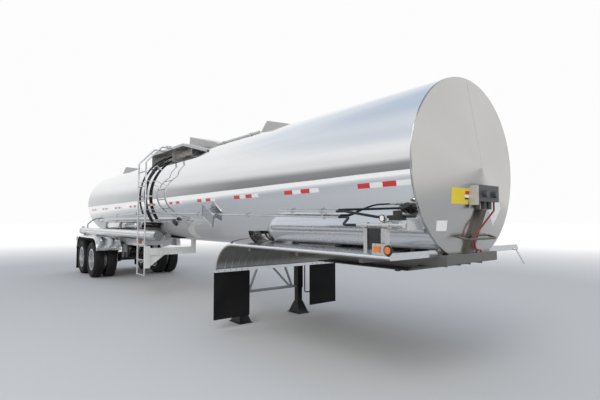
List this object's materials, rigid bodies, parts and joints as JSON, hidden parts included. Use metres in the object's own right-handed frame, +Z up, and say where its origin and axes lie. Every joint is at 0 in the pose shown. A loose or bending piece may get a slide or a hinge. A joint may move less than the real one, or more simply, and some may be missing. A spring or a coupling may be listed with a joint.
{
  "type": "chemical tanker trailer",
  "caption": "Insulated stainless chemical tank semi-trailer with conical heads, side ladder, hose tubes, rear tandem on dual wheels and front landing legs, parked uncoupled.",
  "frame": {"origin": "on the ground under the middle of the overall length and width", "axes": "+X forward, +Y left, +Z up"},
  "size_m": [13.31, 2.4408, 3.47],
  "materials": {
    "mirror_stainless": "mirror polished stainless jacket",
    "spun_stainless": "spun satin stainless with radial sheen",
    "stainless_plate": "mill stainless plate",
    "aluminium": "plain aluminium",
    "polished_aluminium": "polished aluminium",
    "white_paint": "white paint",
    "grey_paint": "grey paint",
    "black_paint": "black paint",
    "dark_steel": "dark greasy steel",
    "hose_rubber": "black hose rubber",
    "flap_rubber": "matt black flap rubber",
    "tyre": "tyre rubber",
    "amber_lens": "amber lens",
    "red_lens": "red lens",
    "bright_fittings": "plated fittings",
    "black_plastic": "black valve housings",
    "grey_plastic": "dark grey box",
    "red_hose": "red air hose"
  },
  "bodies": {
    "trailer": {"tank_shell": "mirror_stainless", "tank_heads": "spun_stainless", "rollover_guards": "stainless_plate", "spill_dam": "stainless_plate", "manway_collar": "stainless_plate", "top_vents": "stainless_plate", "walkway": "aluminium", "ladder_rails": "aluminium", "ladder_rungs": "aluminium", "ladder_outrigger": "white_paint", "side_pipes": "stainless_plate", "clips": "stainless_plate", "rubber_hoses": "hose_rubber", "placard_holders": "aluminium", "coupler_plate": "dark_steel", "kingpin": "dark_steel", "coupler_frame": "stainless_plate", "front_fender": "polished_aluminium", "fender_arms": "stainless_plate", "mud_flaps": "flap_rubber", "landing_legs": "black_paint", "leg_mounts": "stainless_plate", "landing_feet": "black_paint", "landing_braces": "grey_paint", "landing_crank": "black_paint", "front_brackets": "aluminium", "amber_lamps": "amber_lens", "front_valves": "bright_fittings", "valve_bodies": "black_plastic", "connection_box": "grey_plastic", "hose_channel": "dark_steel", "air_line": "red_hose", "hose_spring": "bright_fittings", "frame_rails": "stainless_plate", "frame_saddles": "stainless_plate", "hangers": "grey_paint", "trailing_arms": "black_paint", "air_springs": "hose_rubber", "axles": "black_paint", "rear_fenders": "polished_aluminium", "rear_fender_arms": "stainless_plate", "bumper": "aluminium", "tail_lamps": "red_lens", "outlet": "stainless_plate", "hose_tubes": "polished_aluminium", "tube_cradles": "stainless_plate"},
    "lid": {"manway_lid": "stainless_plate"},
    "door_right": {"tube_door_right": "aluminium"},
    "door_left": {"tube_door_left": "aluminium"},
    "dual_front_right": {"wheel_front_right": "polished_aluminium", "tyres_front_right": "tyre"},
    "dual_front_left": {"wheel_front_left": "polished_aluminium", "tyres_front_left": "tyre"},
    "dual_rear_right": {"wheel_rear_right": "polished_aluminium", "tyres_rear_right": "tyre"},
    "dual_rear_left": {"wheel_rear_left": "polished_aluminium", "tyres_rear_left": "tyre"}
  },
  "joints": [
    {"name": "lid_hinge", "type": "hinge", "parent": "trailer", "child": "lid", "pos_m": [-0.927, 0, 3.34], "axis": [0, -1, 0], "range_deg": [0, 105]},
    {"name": "door_right_hinge", "type": "hinge", "parent": "trailer", "child": "door_right", "pos_m": [-6.6113, -1, 1.433], "axis": [0, 1, 0], "range_deg": [0, 100]},
    {"name": "door_left_hinge", "type": "hinge", "parent": "trailer", "child": "door_left", "pos_m": [-6.6113, 1, 1.433], "axis": [0, 1, 0], "range_deg": [0, 100]},
    {"name": "front_right_roll", "type": "hinge", "parent": "trailer", "child": "dual_front_right", "pos_m": [-4.525, -0.908, 0.509], "axis": [0, 1, 0], "continuous": true},
    {"name": "front_left_roll", "type": "hinge", "parent": "trailer", "child": "dual_front_left", "pos_m": [-4.525, 0.908, 0.509], "axis": [0, 1, 0], "continuous": true},
    {"name": "rear_right_roll", "type": "hinge", "parent": "trailer", "child": "dual_rear_right", "pos_m": [-5.77, -0.908, 0.509], "axis": [0, 1, 0], "continuous": true},
    {"name": "rear_left_roll", "type": "hinge", "parent": "trailer", "child": "dual_rear_left", "pos_m": [-5.77, 0.908, 0.509], "axis": [0, 1, 0], "continuous": true}
  ]
}
